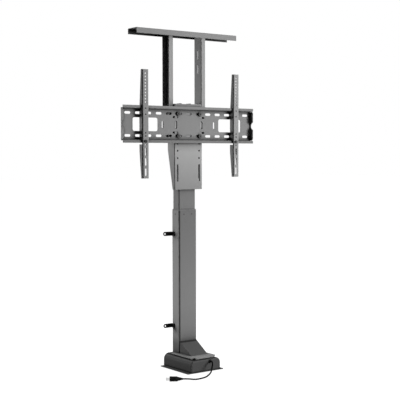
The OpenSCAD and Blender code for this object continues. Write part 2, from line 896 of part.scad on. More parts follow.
module motor_magnets() color("dimgray") at_column() {
    mid = (motor_back + motor_front) / 2;
    magnet_od = motor_d - 2 * can_t - 2 * seat_gap;
    facing_front(worm_x, mid + rotor_len / 2, drive_z) difference() {
        cylinder(d = magnet_od, h = rotor_len);
        translate([0, 0, -through])
            cylinder(d = magnet_od - 2 * magnet_t, h = rotor_len + 2 * through);
        cube([magnet_split, 2 * motor_d, 4 * rotor_len], center = true);
    }
}

module motor_end_cap() color(black) at_column() difference() {
    facing_front(worm_x, motor_front, drive_z) union() {
        cylinder(d = motor_d, h = end_cap_t);
        translate([0, 0, -4]) cylinder(d = motor_d - 2 * can_t - 2 * seat_gap, h = 4);
    }
    facing_front(worm_x, motor_front + 10, drive_z)
        cylinder(d = worm_shaft_d + 2 * run_gap, h = 13);
}

module motor_screws() color(zinc) at_column()
    motor_screw_places() translate([0, 0, seat_gap + can_t])
        pan_screw(motor_screw_d, can_t + 6, motor_screw_head_d, motor_screw_head_t);

// Cable

// A straight round bar from one point to another
module bar(from, to, d) {
    v = to - from;
    length = norm(v);
    translate(from) rotate([0, acos(v[2] / length), atan2(v[1], v[0])])
        cylinder(d = d, h = length);
}

module motor_lead() color(black) bar(
    [worm_x + 9, column_y + motor_front - end_cap_t - lead_gap, drive_z + 5],
    [grommet_x, -base_d / 2 + housing_t + 4, grommet_z], cable_d - 1);

module cable_grommet() color(black) difference() {
    union() {
        facing_front(grommet_x, -base_d / 2 + housing_t + 2, grommet_z)
            cylinder(d = grommet_d - 2 * seat_gap, h = housing_t + 4);
        facing_front(grommet_x, -base_d / 2 - seat_gap, grommet_z)
            cylinder(d = grommet_d + grommet_rim, h = grommet_rim_t);
        facing_front(grommet_x, -base_d / 2 - grommet_rim_t, grommet_z)
            cylinder(d1 = cable_d + sleeve_root, d2 = cable_d + sleeve_tip, h = sleeve_len);
    }
    facing_front(grommet_x, -base_d / 2 + housing_t + 2 + through, grommet_z)
        cylinder(d = cable_d + 2 * run_gap, h = cut_len);
}

// A round tube of eight sides swept along a list of points
function along(points, i) = let (n = len(points) - 1)
    i == 0 ? points[1] - points[0] :
    i == n ? points[n] - points[n - 1] :
    points[i + 1] - points[i - 1];
function unit(v) = v / norm(v);
sweep_sides = 8;
sweep_up = [0.5, 0.5, 0.7];
function ring(center, direction, r) = let (
    side = unit(cross(direction, sweep_up)),
    up = unit(cross(side, direction)))
    [for (k = [0 : sweep_sides - 1]) let (a = 360 * k / sweep_sides)
        center + r * (cos(a) * side + sin(a) * up)];

module swept_tube(points, r) {
    n = len(points);
    rings = [for (i = [0 : n - 1]) each ring(points[i], unit(along(points, i)), r)];
    s = sweep_sides;
    sides = [for (i = [0 : n - 2], k = [0 : s - 1]) let (a = i * s + k, b = i * s + (k + 1) % s)
        each [[a, b, b + s], [a, b + s, a + s]]];
    first = [for (k = [1 : s - 2]) [0, k + 1, k]];
    last = [for (k = [1 : s - 2]) let (o = (n - 1) * s) [o, o + k, o + k + 1]];
    polyhedron(rings, concat(sides, first, last));
}

module motor_cable() color(black) swept_tube(cable_route, cable_d / 2);

// Turns a shape that stands along +Z so that it lies along the plug's axis
module at_plug(offset) {
    translate(plug_start) rotate([0, 90, plug_angle]) translate([0, 0, offset]) children();
}

module plug_body() color(black) at_plug(0) {
    cylinder(r1 = plug_tail_r, r2 = plug_shoulder_r, h = plug_taper_len);
    translate([0, 0, plug_taper_len]) cylinder(r = plug_r, h = plug_len - plug_taper_len);
}

module plug_shell() color("silver") at_plug(plug_len) difference() {
    cylinder(r = shell_r, h = shell_len);
    translate([0, 0, through]) cylinder(r = shell_r - shell_t, h = shell_len);
}

module plug_pins() color("gold") at_plug(plug_len + 1)
    for (i = [0 : pin_count - 1]) rotate([0, 0, 45 + i * 360 / pin_count])
        translate([pin_ring_r, 0, 0]) cylinder(r = pin_r, h = shell_len - 3);

// Carriage

module head_screw_places(z) {
    for (x = [-1, 1], y = [-1, 1])
        translate([x * head_screw_x, y * head_screw_y, z]) children();
}

module head_plate() color(steel_gray) at_column() difference() {
    w = carrier_w - 2 * carrier_t - 2 * seat_gap;
    front = carrier_back + slide_gap;
    rear = inner_d / 2;
    translate([-w / 2, front, inner_top]) cube([w, rear - front, head_t]);
    head_screw_places(inner_top - through)
        cylinder(d = head_screw_d + 2 * run_gap, h = head_t + 2 * through);
}

module head_screws() color(black) at_column()
    head_screw_places(carrier_top)
        pan_screw(head_screw_d, carrier_t + head_t - head_screw_short, head_screw_head_d,
            head_screw_head_t);

module lower_glide() color(pom) at_column() difference() {
    outside = [outer_w - 2 * outer_t - 2 * slide_gap, outer_d - 2 * outer_t - 2 * slide_gap];
    inside = [inner_w - 2 * inner_t - 2 * seat_gap, inner_d - 2 * inner_t - 2 * seat_gap];
    union() {
        translate([0, 0, inner_bottom - glide_flange_t]) linear_extrude(glide_flange_t)
            rounded(outside[0], outside[1], outer_r - outer_t);
        translate([0, 0, inner_bottom]) linear_extrude(glide_plug_h)
            rounded(inside[0], inside[1], 2);
    }
    translate([0, 0, inner_bottom - glide_flange_t - through])
        cylinder(d = nut_d + 2 * seat_gap, h = glide_flange_t + glide_plug_h + 2 * through);
    translate([0, 0, inner_bottom - glide_flange_t - through])
        cylinder(d = nut_flange_d + 2 * seat_gap, h = nut_flange_t + through);
    nut_screw_places() translate([0, 0, -through])
        cylinder(d = nut_screw_d + 2 * run_gap, h = 20);
    glide_pin_places() cylinder(d = glide_pin_d + 2 * run_gap, h = 2 * inner_d, center = true);
}

module nut_screw_places() {
    for (a = [0 : 90 : 270]) rotate([0, 0, 45 + a])
        translate([nut_screw_r, 0, inner_bottom - glide_flange_t]) children();
}

module drive_nut() color("goldenrod") at_column() difference() {
    union() {
        translate([0, 0, inner_bottom - glide_flange_t])
            cylinder(d = nut_flange_d, h = nut_flange_t);
        translate([0, 0, inner_bottom - glide_flange_t])
            cylinder(d = nut_d, h = glide_flange_t + glide_plug_h);
    }
    translate([0, 0, inner_bottom - glide_flange_t - through])
        cylinder(d = screw_d + 2 * run_gap, h = glide_flange_t + glide_plug_h + 2 * through);
    nut_screw_places() translate([0, 0, -through])
        cylinder(d = nut_screw_d + 2 * run_gap, h = nut_flange_t + 2 * through);
}

module nut_screws() color(zinc) at_column()
    nut_screw_places() mirror([0, 0, 1])
        pan_screw(nut_screw_d, nut_screw_len, nut_screw_head_d, nut_screw_head_t);

// Where the pins that hold the glide cross the inner column, each along Y
module glide_pin_places() {
    for (x = [-1, 1])
        facing_front(x * glide_pin_x, 0, inner_bottom + glide_plug_h / 2) children();
}

module glide_pins() color(zinc) at_column()
    glide_pin_places() cylinder(d = glide_pin_d, h = inner_d - 2 * seat_gap, center = true);

// The carrier's flanges seen from the side: full depth above, tapering to a tip below
module carrier_side() {
    polygon([[carrier_front - 1, 0], [carrier_front + carrier_tip_d, 0],
        [carrier_front + carrier_d, carrier_taper_h], [carrier_front + carrier_d, carrier_h],
        [carrier_front - 1, carrier_h]]);
}

module rail_bolt_places(y) {
    for (x = [-1, 1], z = [-1, 1])
        facing_front(x * bolt_x, y, rail_z + z * row_z) children();
}

module post_bolt_places(x) {
    for (i = [0, 1])
        translate([x, post_mid, post_bottom + post_slots[i]]) children();
}

module carrier_bracket() color(steel_gray) at_column() difference() {
    union() {
        intersection() {
            translate([0, carrier_front, carrier_bottom]) linear_extrude(carrier_h)
                channel_shape(carrier_w, carrier_d, carrier_t, bend_r);
            translate([-carrier_w, 0, carrier_bottom]) rotate([90, 0, 90])
                linear_extrude(2 * carrier_w) carrier_side();
        }
        translate([-carrier_w / 2 + flange_relief, carrier_back - 1, head_top])
            cube([carrier_w - 2 * flange_relief, 1 + head_flange_rear - carrier_back, carrier_t]);
    }
    for (x = [-1, 1]) {
        for (z = carrier_hole_z)
            facing_front(x * bolt_x, 0, carrier_bottom + z)
                cylinder(d = carrier_hole_d, h = cut_len);
        translate([x * bolt_x, 0, carrier_bottom + (carrier_slot_z[0] + carrier_slot_z[1]) / 2])
            rotate([90, 90, 0]) linear_extrude(cut_len)
                slot_shape(carrier_slot_z[1] - carrier_slot_z[0], carrier_slot_w);
        translate([x * (carrier_w / 2 - flange_relief / 2), carrier_back, carrier_top - 2])
            cube([flange_relief, relief_depth, relief_h], center = true);
    }
    rail_bolt_places(0) cylinder(d = rail_bolt_d + 2 * seat_gap, h = cut_len);
    post_bolt_places(0) rotate([0, 90, 0])
        cylinder(d = post_bolt_d + 2 * seat_gap, h = 2 * carrier_w, center = true);
    head_screw_places(head_top - through)
        cylinder(d = head_screw_d + 2 * seat_gap, h = carrier_t + 2 * through);
}

// The rail's section seen from the side, upper half, its middle at zero
module rail_half() {
    r = lip_bend_r;
    translate([rail_front, 0]) square([rail_t, lip_flange_z]);
    translate([lip_front + r, lip_flange_z]) square([rail_depth - r, rail_t]);
    translate([lip_front, lip_flange_z + r]) square([rail_t, lip_h - r]);
    translate([lip_front + r, lip_flange_z + r]) intersection() {
        difference() {
            circle(r);
            circle(r - rail_t);
        }
        translate([-r, -r]) square(r);
    }
    translate([rail_front, lip_flange_z]) square([rail_t, rail_t]);
}

module rail_slots() {
    first = -(slot_count - 1) / 2 * slot_pitch;
    for (z = [-1, 1], i = [0 : slot_count - 1])
        translate([first + i * slot_pitch, z * row_z]) slot_shape(slot_len, slot_h);
    for (x = [-1, 1]) {
        translate([x * window_x, 0]) rounded(window_w, window_h, window_r);
        translate([x * cable_slot_x, 0]) rotate(90) slot_shape(cable_slot_h, cable_slot_w);
        translate([x * edge_slot_x, 0]) rotate(90) slot_shape(edge_slot_h, edge_slot_w);
        for (z = [-1, 1])
            translate([x * short_slot_x, z * short_slot_z])
                slot_shape(short_slot_len, short_slot_h);
    }
}

module rail_end_flange() {
    top = lip_flange_z - 1;
    depth = rail_depth + rail_t;
    translate([0, 0, rail_z]) rotate([90, 0, 90]) linear_extrude(rail_t) difference() {
        translate([lip_front, -top]) square([depth, 2 * top]);
        translate([lip_front - notch_r + notch_depth, 0]) circle(notch_r);
        for (z = [-1, 1])
            translate([lip_front, z * top]) rotate(45) square(1.4 * rail_corner, center = true);
    }
}

module rail_plate() color(steel_gray) at_column() {
    difference() {
        translate([-rail_w / 2, 0, rail_z]) rotate([90, 0, 90]) linear_extrude(rail_w) {
            rail_half();
            mirror([0, 1]) rail_half();
        }
        mirrored_x() rail_end_bend();
        facing_front(0, rail_front + rail_t + through, rail_z)
            linear_extrude(rail_t + 2 * through) rail_slots();
    }
    mirrored_x() difference() {
        translate([rail_w / 2 - rail_t, 0, 0]) rail_end_flange();
        rail_end_bend();
    }
}

// What the upright bend at the rail's right end leaves free
module rail_end_bend() {
    r = end_bend_r;
    translate([rail_w / 2 - r, carrier_front - r, rail_z - rail_h])
        linear_extrude(2 * rail_h) difference() {
            square(r + through);
            circle(r);
        }
}

module rail_bolts() color(black) at_column()
    rail_bolt_places(rail_front - rail_washer_t)
        pan_screw(rail_bolt_d, rail_washer_t + rail_t + carrier_t + rail_nut_t - 0.2,
            rail_head_d, rail_head_t);

module rail_washers() color(black) at_column()
    rail_bolt_places(rail_front) difference() {
        cylinder(d = rail_washer_d, h = rail_washer_t);
        translate([0, 0, -through])
            cylinder(d = rail_bolt_d + 2 * run_gap, h = rail_washer_t + 2 * through);
    }

module rail_nuts() color(zinc) at_column()
    rail_bolt_places(carrier_back + rail_nut_t) difference() {
        cylinder(d = rail_nut_af / cos(30), h = rail_nut_t, $fn = 6);
        translate([0, 0, -through])
            cylinder(d = rail_bolt_d + 2 * run_gap, h = rail_nut_t + 2 * through);
    }

// Posts and lid bracket

module post_bolts() color(black) at_column() mirrored_x()
    post_bolt_places(carrier_w / 2 - carrier_t) rotate([0, -90, 0])
        pan_screw(post_bolt_d, carrier_t + 2 * post_gap + lid_t + post_washer_t + post_nut_t + 1,
            post_head_d, post_head_t);

module post_nuts() color(zinc) at_column() mirrored_x()
    post_bolt_places(post_x + lid_t + post_gap) rotate([0, 90, 0]) difference() {
        union() {
            cylinder(d = post_washer_d, h = post_washer_t);
            cylinder(d = post_nut_af / cos(30), h = post_washer_t + post_nut_t, $fn = 6);
        }
        translate([0, 0, -through])
            cylinder(d = post_bolt_d + 2 * run_gap, h = post_washer_t + post_nut_t + 2 * through);
    }

module right_post_shape() {
    length = post_top - post_bottom;
    difference() {
        union() {
            translate([post_x, post_mid, post_bottom]) rotate([0, 0, -90])
                linear_extrude(length) channel_shape(post_d, post_w, lid_t, bend_r);
            translate([post_x + 1, post_front + 1, post_top - lid_t])
                cube([post_w - 2, post_d - 2, lid_t]);
        }
        for (z = post_slots)
            translate([post_x - through, post_mid, post_bottom + z]) rotate([90, 0, 90])
                linear_extrude(lid_t + 2 * through) rotate(90)
                    slot_shape(post_slot_len, post_slot_w);
        lid_screw_places() cylinder(d = lid_screw_d + 2 * run_gap, h = cut_len, center = true);
    }
}

module lid_screw_places() {
    for (y = [-1, 1])
        translate([post_x + post_w / 2 + 1, post_mid + y * lid_screw_y, lid_top]) children();
}

module left_post() color(steel_gray) at_column() mirror([1, 0, 0]) right_post_shape();

module right_post() color(steel_gray) at_column() right_post_shape();

module lid_bracket() color(steel_gray) at_column() difference() {
    translate([-lid_w / 2, 0, lid_top]) rotate([90, 0, 90]) linear_extrude(lid_w)
        mirror([0, 1]) channel_shape(lid_d, lid_h, lid_t, bend_r);
    mirrored_x() lid_screw_places() mirror([0, 0, 1])
        countersunk_hole(lid_screw_d, lid_t, lid_screw_head_d, lid_screw_head_t);
    for (x = [-1, 1], y = [-1, 1])
        translate([x * lid_hole_x, y * lid_hole_y, lid_top - lid_t - through])
            cylinder(d = lid_hole_d, h = lid_t + 2 * through);
}

module lid_screws() color(black) at_column() mirrored_x()
    lid_screw_places() mirror([0, 0, 1])
        countersunk_screw(lid_screw_d, 2 * lid_t + 3, lid_screw_head_d, lid_screw_head_t);

// Television arms

// The arm's flanges seen from the side, with the hooks for the rail's lips
module arm_side() {
    half = arm_len / 2;
    tip = arm_front + arm_tip_d;
    hook_front = lip_front - slide_gap;
    hook_back = lip_front + rail_t + slide_gap;
    flange_z = lip_flange_z - slide_gap - 2;
    top_z = rail_h / 2 + slide_gap;
    difference() {
        polygon([[arm_front - 1, -half], [tip, -half], [arm_back, -half + arm_lower_taper],
            [arm_back, half - arm_upper_taper], [tip, half], [arm_front - 1, half]]);
        translate([hook_front, flange_z])
            square([cut_len, lip_flange_z + rail_t + hook_gap - flange_z]);
        translate([hook_front, flange_z]) square([hook_back - hook_front, top_z - flange_z]);
        translate([arm_front + arm_t + 1, -rail_h / 2 - 6])
            square([cut_len, rail_h / 2 + 6 - flange_z]);
    }
}

module arm() difference() {
    intersection() {
        translate([0, arm_front, rail_z - arm_len / 2]) linear_extrude(arm_len)
            channel_shape(arm_w, arm_back - arm_front, arm_t, arm_r);
        translate([-arm_w, 0, rail_z]) rotate([90, 0, 90])
            linear_extrude(2 * arm_w) arm_side();
    }
    for (i = [0 : arm_hole_count - 1])
        facing_front(0, 0, rail_z + arm_len / 2 - arm_first_hole - i * arm_hole_pitch)
            cylinder(d = arm_hole_d, h = cut_len);
    for (z = arm_rail_holes)
        facing_front(0, 0, rail_z + z) cylinder(d = arm_hole_d, h = cut_len);
    for (z = arm_slot_z)
        translate([0, 0, rail_z + z]) rotate([90, 90, 0]) linear_extrude(cut_len)
            slot_shape(arm_slot_len, arm_slot_w);
    facing_front(0, 0, rail_z + lock_z) cylinder(d = lock_d + 2 * seat_gap, h = cut_len);
}

module left_arm() color(steel_gray) at_column() translate([-left_arm_x, 0, 0]) arm();

module right_arm() color(steel_gray) at_column() translate([right_arm_x, 0, 0]) arm();

module lock_screw(x) color(black) at_column()
    facing_front(x, arm_front, rail_z + lock_z)
        pan_screw(lock_d, arm_proud - slide_gap, lock_head_d, lock_head_t);

module left_lock_screw() lock_screw(-left_arm_x);

module right_lock_screw() lock_screw(right_arm_x);

base_plate();
base_housing();
housing_screws();
motor_cover();
cover_screws();
column_foot();
foot_screws();
outer_column();
guide_collar();
lower_fixing_tab();
upper_fixing_tab();
tab_screws();
gearbox_housing();
gearbox_cover();
gearbox_screws();
bearing_outer_rings();
bearing_inner_rings();
lead_screw();
worm_wheel();
screw_end_guide();
end_guide_bolt();
worm_bushes();
worm_shaft();
rotor_core();
motor_can();
motor_magnets();
motor_end_cap();
motor_screws();
motor_lead();
cable_grommet();
motor_cable();
plug_body();
plug_shell();
plug_pins();
inner_column();
head_plate();
head_screws();
lower_glide();
drive_nut();
nut_screws();
glide_pins();
carrier_bracket();
rail_plate();
rail_bolts();
rail_washers();
rail_nuts();
post_bolts();
post_nuts();
left_arm();
right_arm();
left_lock_screw();
right_lock_screw();
left_post();
right_post();
lid_bracket();
lid_screws();
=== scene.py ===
"""The look of the motorized television stand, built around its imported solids."""

import json
import math

import bmesh
import bpy
from mathutils import Matrix, Vector


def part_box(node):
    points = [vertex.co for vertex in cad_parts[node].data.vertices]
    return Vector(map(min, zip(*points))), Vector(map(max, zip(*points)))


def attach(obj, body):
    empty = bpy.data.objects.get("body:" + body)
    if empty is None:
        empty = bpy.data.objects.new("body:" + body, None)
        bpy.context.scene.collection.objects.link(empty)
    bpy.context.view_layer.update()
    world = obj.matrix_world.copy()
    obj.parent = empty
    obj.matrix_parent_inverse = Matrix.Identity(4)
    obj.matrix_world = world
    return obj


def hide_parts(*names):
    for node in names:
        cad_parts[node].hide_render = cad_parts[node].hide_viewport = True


MM = 0.001
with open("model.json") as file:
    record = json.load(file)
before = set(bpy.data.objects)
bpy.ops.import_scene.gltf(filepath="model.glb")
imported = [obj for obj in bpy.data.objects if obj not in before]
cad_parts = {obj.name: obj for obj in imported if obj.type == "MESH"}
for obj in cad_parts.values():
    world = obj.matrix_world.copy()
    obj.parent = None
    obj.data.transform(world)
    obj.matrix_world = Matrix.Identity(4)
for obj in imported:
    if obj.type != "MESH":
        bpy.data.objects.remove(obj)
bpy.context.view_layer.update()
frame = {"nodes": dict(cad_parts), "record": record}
nodes = frame["nodes"]
scene = bpy.context.scene


def mm(*values):
    return Vector(values) * MM


# Camera: the photograph's viewpoint

IMAGE_SIZE = 400
SENSOR = 36.0
CAMERA_PLACE = mm(-2367.3, -3141.3, 871.7)
CAMERA_YAW = math.radians(-35.108)
CAMERA_PITCH = math.radians(3.549)
CAMERA_ROLL = math.radians(-0.232)
FOCAL_PX = 957.3
AXIS_PX = (159.8, 216.9)
CLIP_END = 60


def make_camera():
    yaw, pitch, roll = CAMERA_YAW, CAMERA_PITCH, CAMERA_ROLL
    forward = Vector((-math.sin(yaw) * math.cos(pitch), math.cos(yaw) * math.cos(pitch),
                      -math.sin(pitch)))
    level = Vector((math.cos(yaw), math.sin(yaw), 0))
    upright = level.cross(forward)
    right = math.cos(roll) * level + math.sin(roll) * upright
    up = right.cross(forward)
    data = bpy.data.cameras.new("camera")
    data.sensor_width = SENSOR
    data.lens = FOCAL_PX / IMAGE_SIZE * SENSOR
    data.shift_x = (IMAGE_SIZE / 2 - AXIS_PX[0]) / IMAGE_SIZE
    data.shift_y = (AXIS_PX[1] - IMAGE_SIZE / 2) / IMAGE_SIZE
    data.clip_end = CLIP_END
    camera = bpy.data.objects.new("camera", data)
    camera.matrix_world = Matrix.Translation(CAMERA_PLACE) @ Matrix(
        (right, up, -forward)).transposed().to_4x4()
    scene.collection.objects.link(camera)
    scene.camera = camera


make_camera()

# The motor's free cable, along the same points as its solid, with its plug and its sleeve, in mm

CABLE_D = 6.0
CABLE_SIDES = 12
CABLE_STEPS = 4
CABLE_ROUTE = [
    (22, -95, 41), (22, -105, 41), (21.5, -110.5, 39.5), (20, -114.5, 35.5), (17.5, -117, 29.5),
    (15, -118, 22.5), (12, -119.5, 15.5), (7.5, -123, 9.4), (0.5, -129, 5), (-9, -137, 3.2),
    (-20, -146.5, 3.2), (-32, -157, 3.2), (-45, -167, 3.2), (-59, -176.5, 3.2), (-74, -183.5, 3.2),
    (-89, -187.5, 3.2), (-103, -189.5, 3.2), (-116, -190.5, 3.4), (-128, -191.5, 4.6),
    (-140, -192, 6.6), (-150, -191.3, 8.6), (-160, -188.6, 10), (-168, -183.8, 10.4),
    (-176, -178, 10.4)]
RING_UP = Vector((0.5, 0.5, 0.7))
CABLE_EDGE = 40
TURNED_EDGE = 35
TURNED_SIDES = 32

PLUG_START = CABLE_ROUTE[-1]
PLUG_ANGLE = math.radians(144)
PLUG_AXIS = (math.cos(PLUG_ANGLE), math.sin(PLUG_ANGLE), 0)
SLEEVE_START = (CABLE_ROUTE[0][0], -96, CABLE_ROUTE[0][2])
SLEEVE_AXIS = (0, -1, 0)

# Profiles of round pieces: pairs of a distance along the axis and a radius
PLUG_TAIL = [(0, 3.2), (0.6, 4)]
PLUG_RELIEF = dict(count=5, start=2, step=3.2, radius=4.3, growth=0.75,
                   rib=[(0, 0), (0.3, -0.9), (1.1, -0.9), (1.4, 0.2)])
PLUG_SHOULDER = [(19, 8), (22.5, 9.1), (25, 9.7), (27, 10.1)]
PLUG_GRIP = dict(count=6, start=30, step=2.6, radius=10.2, growth=0,
                 rib=[(0, 0), (0.35, -0.6), (1.1, -0.6), (1.45, 0)])
PLUG_NOSE = [(52, 10.2), (52.7, 9.9), (53, 9.3)]
SLEEVE_FLANGE = [(-3, 5.8), (-0.1, 5.8), (0, 7.5), (1.4, 7.5), (2, 6.9), (2.4, 5.4)]
SLEEVE_RELIEF = dict(count=3, start=3.4, step=1.6, radius=5.2, growth=-0.45,
                     rib=[(0, 0), (0.2, -0.5), (0.7, -0.5), (0.9, -0.15)])
SLEEVE_END = [(8.6, 3.9), (9, 3.4)]


def new_piece(name, shape, body, replaced, edge):
    """Puts a shape on a body in place of a CAD node, smooth where it bends less than an edge"""
    mesh = bpy.data.meshes.new(name)
    shape.to_mesh(mesh)
    shape.free()
    piece = bpy.data.objects.new(name, mesh)
    scene.collection.objects.link(piece)
    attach(piece, body)
    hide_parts(replaced)
    mesh.shade_smooth()
    mesh.set_sharp_from_angle(angle=math.radians(edge))
    return piece


def ring_across(place, direction, radius, sides):
    """Corners of a ring round a point, square to a direction"""
    side = direction.cross(RING_UP).normalized()
    up = side.cross(direction).normalized()
    turns = [2 * math.pi * k / sides for k in range(sides)]
    return [place + radius * (math.cos(a) * side + math.sin(a) * up) for a in turns]


def loft(shape, rings):
    """Skins a row of rings and closes both ends"""
    rows = [[shape.verts.new(corner) for corner in ring] for ring in rings]
    sides = len(rows[0])
    for first, second in zip(rows, rows[1:]):
        for k in range(sides):
            n = (k + 1) % sides
            shape.faces.new((first[k], first[n], second[n], second[k]))
    shape.faces.new(list(reversed(rows[0])))
    shape.faces.new(rows[-1])
    bmesh.ops.recalc_face_normals(shape, faces=shape.faces)


def spline_points(points, steps):
    """A Catmull-Rom curve through the points, with steps between each pair"""
    ends = [2 * points[0] - points[1]] + points + [2 * points[-1] - points[-2]]
    found = []
    for a, b, c, d in zip(ends, ends[1:], ends[2:], ends[3:]):
        for k in range(steps):
            t = k / steps
            found.append(0.5 * (2 * b + (c - a) * t + (2 * a - 5 * b + 4 * c - d) * t * t
                                + (3 * b - a - 3 * c + d) * t ** 3))
    return found + [points[-1]]


def make_cable():
    path = spline_points([mm(*place) for place in CABLE_ROUTE], CABLE_STEPS)
    shape = bmesh.new()
    rings = []
    for k, place in enumerate(path):
        direction = path[min(k + 1, len(path) - 1)] - path[max(k - 1, 0)]
        rings.append(ring_across(place, direction, CABLE_D / 2 * MM, CABLE_SIDES))
    loft(shape, rings)
    return new_piece("motor_cord", shape, "base", "motor_cable", CABLE_EDGE), path


def ribs(count, start, step, radius, growth, rib):
    """Repeats a rib's places and radii along a round piece that grows or shrinks from rib to rib"""
    return [(start + step * k + along, radius + growth * k + out)
            for k in range(count) for along, out in rib]


def turned(name, profile, place, direction, replaced):
    """A round piece on the base, from its profile"""
    shape = bmesh.new()
    axis = Vector(direction).normalized()
    loft(shape, [ring_across(mm(*place) + axis * along * MM, axis, radius * MM, TURNED_SIDES)
                 for along, radius in profile])
    return new_piece(name, shape, "base", replaced, TURNED_EDGE)


cable, cable_path = make_cable()
plug_profile = PLUG_TAIL + ribs(**PLUG_RELIEF) + PLUG_SHOULDER + ribs(**PLUG_GRIP) + PLUG_NOSE
plug = turned("plug_grip", plug_profile, PLUG_START, PLUG_AXIS, "plug_body")
sleeve_profile = SLEEVE_FLANGE + ribs(**SLEEVE_RELIEF) + SLEEVE_END
sleeve = turned("cable_sleeve", sleeve_profile, SLEEVE_START, SLEEVE_AXIS, "cable_grommet")

# Stage: a white floor that keeps the object's shadow, white surroundings and three soft lamps, in m

FLOOR_HALF = 30
FLOOR_DROP = 0.0005
FLOOR_NEAR = 0.92
FLOOR_FAR = 1.0
FLOOR_BLEND = (0.35, 1.1)
FLOOR_GRAY = 0.3
AMBIENT = 0.012
KEY = dict(place=(2.42, -2.1, 1.1), target=(0, 0, 0.95), size=(1.3, 1.3), watts=139, spread=180)
FILL = dict(place=(-1.2, 1.3, 0.85), target=(0, 0.05, 0.6), size=(1.2, 0.9), watts=13, spread=110)
TOP = dict(place=(0.3, -0.1, 3.3), target=(0, 0, 0), size=(1.6, 1.6), watts=20, spread=180)


def add_node(tree, kind, **settings):
    node = tree.nodes.new(kind)
    for name, value in settings.items():
        setattr(node, name, value)
    return node


def shown_rays(tree):
    """1 for the rays that may see the white surroundings: camera, glossy and transmission rays"""
    rays = add_node(tree, "ShaderNodeLightPath")
    first = add_node(tree, "ShaderNodeMath", operation="MAXIMUM")
    second = add_node(tree, "ShaderNodeMath", operation="MAXIMUM")
    tree.links.new(rays.outputs["Is Glossy Ray"], first.inputs[0])
    tree.links.new(rays.outputs["Is Transmission Ray"], first.inputs[1])
    tree.links.new(rays.outputs["Is Camera Ray"], second.inputs[0])
    tree.links.new(first.outputs[0], second.inputs[1])
    return second.outputs[0]


def make_stage():
    mesh = bpy.data.meshes.new("floor")
    half = FLOOR_HALF
    mesh.from_pydata([(-half, -half, 0), (half, -half, 0), (half, half, 0), (-half, half, 0)], [],
                     [(0, 1, 2, 3)])
    floor = bpy.data.objects.new("floor", mesh)
    floor.location.z = -FLOOR_DROP
    scene.collection.objects.link(floor)
    material = bpy.data.materials.new("floor")
    material.use_nodes = True
    tree = material.node_tree
    tree.nodes.clear()
    out = add_node(tree, "ShaderNodeOutputMaterial")
    add = add_node(tree, "ShaderNodeAddShader")
    diffuse = add_node(tree, "ShaderNodeBsdfDiffuse")
    glow = add_node(tree, "ShaderNodeEmission")
    place = add_node(tree, "ShaderNodeTexCoord")
    reach = add_node(tree, "ShaderNodeVectorMath", operation="LENGTH")
    lift = add_node(tree, "ShaderNodeMapRange", interpolation_type="SMOOTHSTEP")
    strength = add_node(tree, "ShaderNodeMath", operation="MULTIPLY")
    diffuse.inputs["Color"].default_value = (FLOOR_GRAY, FLOOR_GRAY, FLOOR_GRAY, 1)
    lift.inputs["From Min"].default_value, lift.inputs["From Max"].default_value = FLOOR_BLEND
    lift.inputs["To Min"].default_value = FLOOR_NEAR
    lift.inputs["To Max"].default_value = FLOOR_FAR
    tree.links.new(place.outputs["Object"], reach.inputs[0])
    tree.links.new(reach.outputs["Value"], lift.inputs["Value"])
    tree.links.new(lift.outputs["Result"], strength.inputs[0])
    tree.links.new(shown_rays(tree), strength.inputs[1])
    tree.links.new(strength.outputs[0], glow.inputs["Strength"])
    tree.links.new(diffuse.outputs[0], add.inputs[0])
    tree.links.new(glow.outputs[0], add.inputs[1])
    tree.links.new(add.outputs[0], out.inputs["Surface"])
    mesh.materials.append(material)


def make_world():
    world = bpy.data.worlds.new("studio")
    scene.world = world
    world.use_nodes = True
    tree = world.node_tree
    tree.nodes.clear()
    out = add_node(tree, "ShaderNodeOutputWorld")
    mix = add_node(tree, "ShaderNodeMixShader")
    ambient = add_node(tree, "ShaderNodeBackground")
    white = add_node(tree, "ShaderNodeBackground")
    ambient.inputs["Strength"].default_value = AMBIENT
    for light in (ambient, white):
        light.inputs["Color"].default_value = (1, 1, 1, 1)
    tree.links.new(shown_rays(tree), mix.inputs["Fac"])
    tree.links.new(ambient.outputs[0], mix.inputs[1])
    tree.links.new(white.outputs[0], mix.inputs[2])
    tree.links.new(mix.outputs[0], out.inputs["Surface"])


def make_lamp(name, place, target, size, watts, spread):
    data = bpy.data.lights.new(name, "AREA")
    data.shape = "RECTANGLE"
    data.size, data.size_y = size
    data.energy = watts
    data.spread = math.radians(spread)
    lamp = bpy.data.objects.new(name, data)
    lamp.location = place
    lamp.rotation_euler = (Vector(target) - Vector(place)).to_track_quat("-Z", "Y").to_euler()
    lamp.visible_camera = False
    scene.collection.objects.link(lamp)


make_world()
make_stage()
make_lamp("key", **KEY)
make_lamp("fill", **FILL)
make_lamp("top", **TOP)

# Materials


def linear(gray):
    """A screen gray from 0 to 255 as a linear value"""
    value = gray / 255
    return value / 12.92 if value <= 0.04045 else ((value + 0.055) / 1.055) ** 2.4


def multiplied(tree, first, second):
    mix = add_node(tree, "ShaderNodeMixRGB", blend_type="MULTIPLY")
    mix.inputs["Fac"].default_value = 1
    tree.links.new(first, mix.inputs["Color1"])
    tree.links.new(second, mix.inputs["Color2"])
    return mix.outputs["Color"]


PAINTED_SHADE_SAMPLES = 8


def painted_recess_shade(tree, reach, power):
    """Painted shade: 1 on open faces, falling towards 0 in corners, bends and channels, where less
    light comes
    """
    hidden = add_node(tree, "ShaderNodeAmbientOcclusion", samples=PAINTED_SHADE_SAMPLES)
    hidden.inputs["Distance"].default_value = reach * MM
    shade = add_node(tree, "ShaderNodeMath", operation="POWER")
    tree.links.new(hidden.outputs["AO"], shade.inputs[0])
    shade.inputs[1].default_value = power
    return shade.outputs[0]


BAND_RANGE = 3


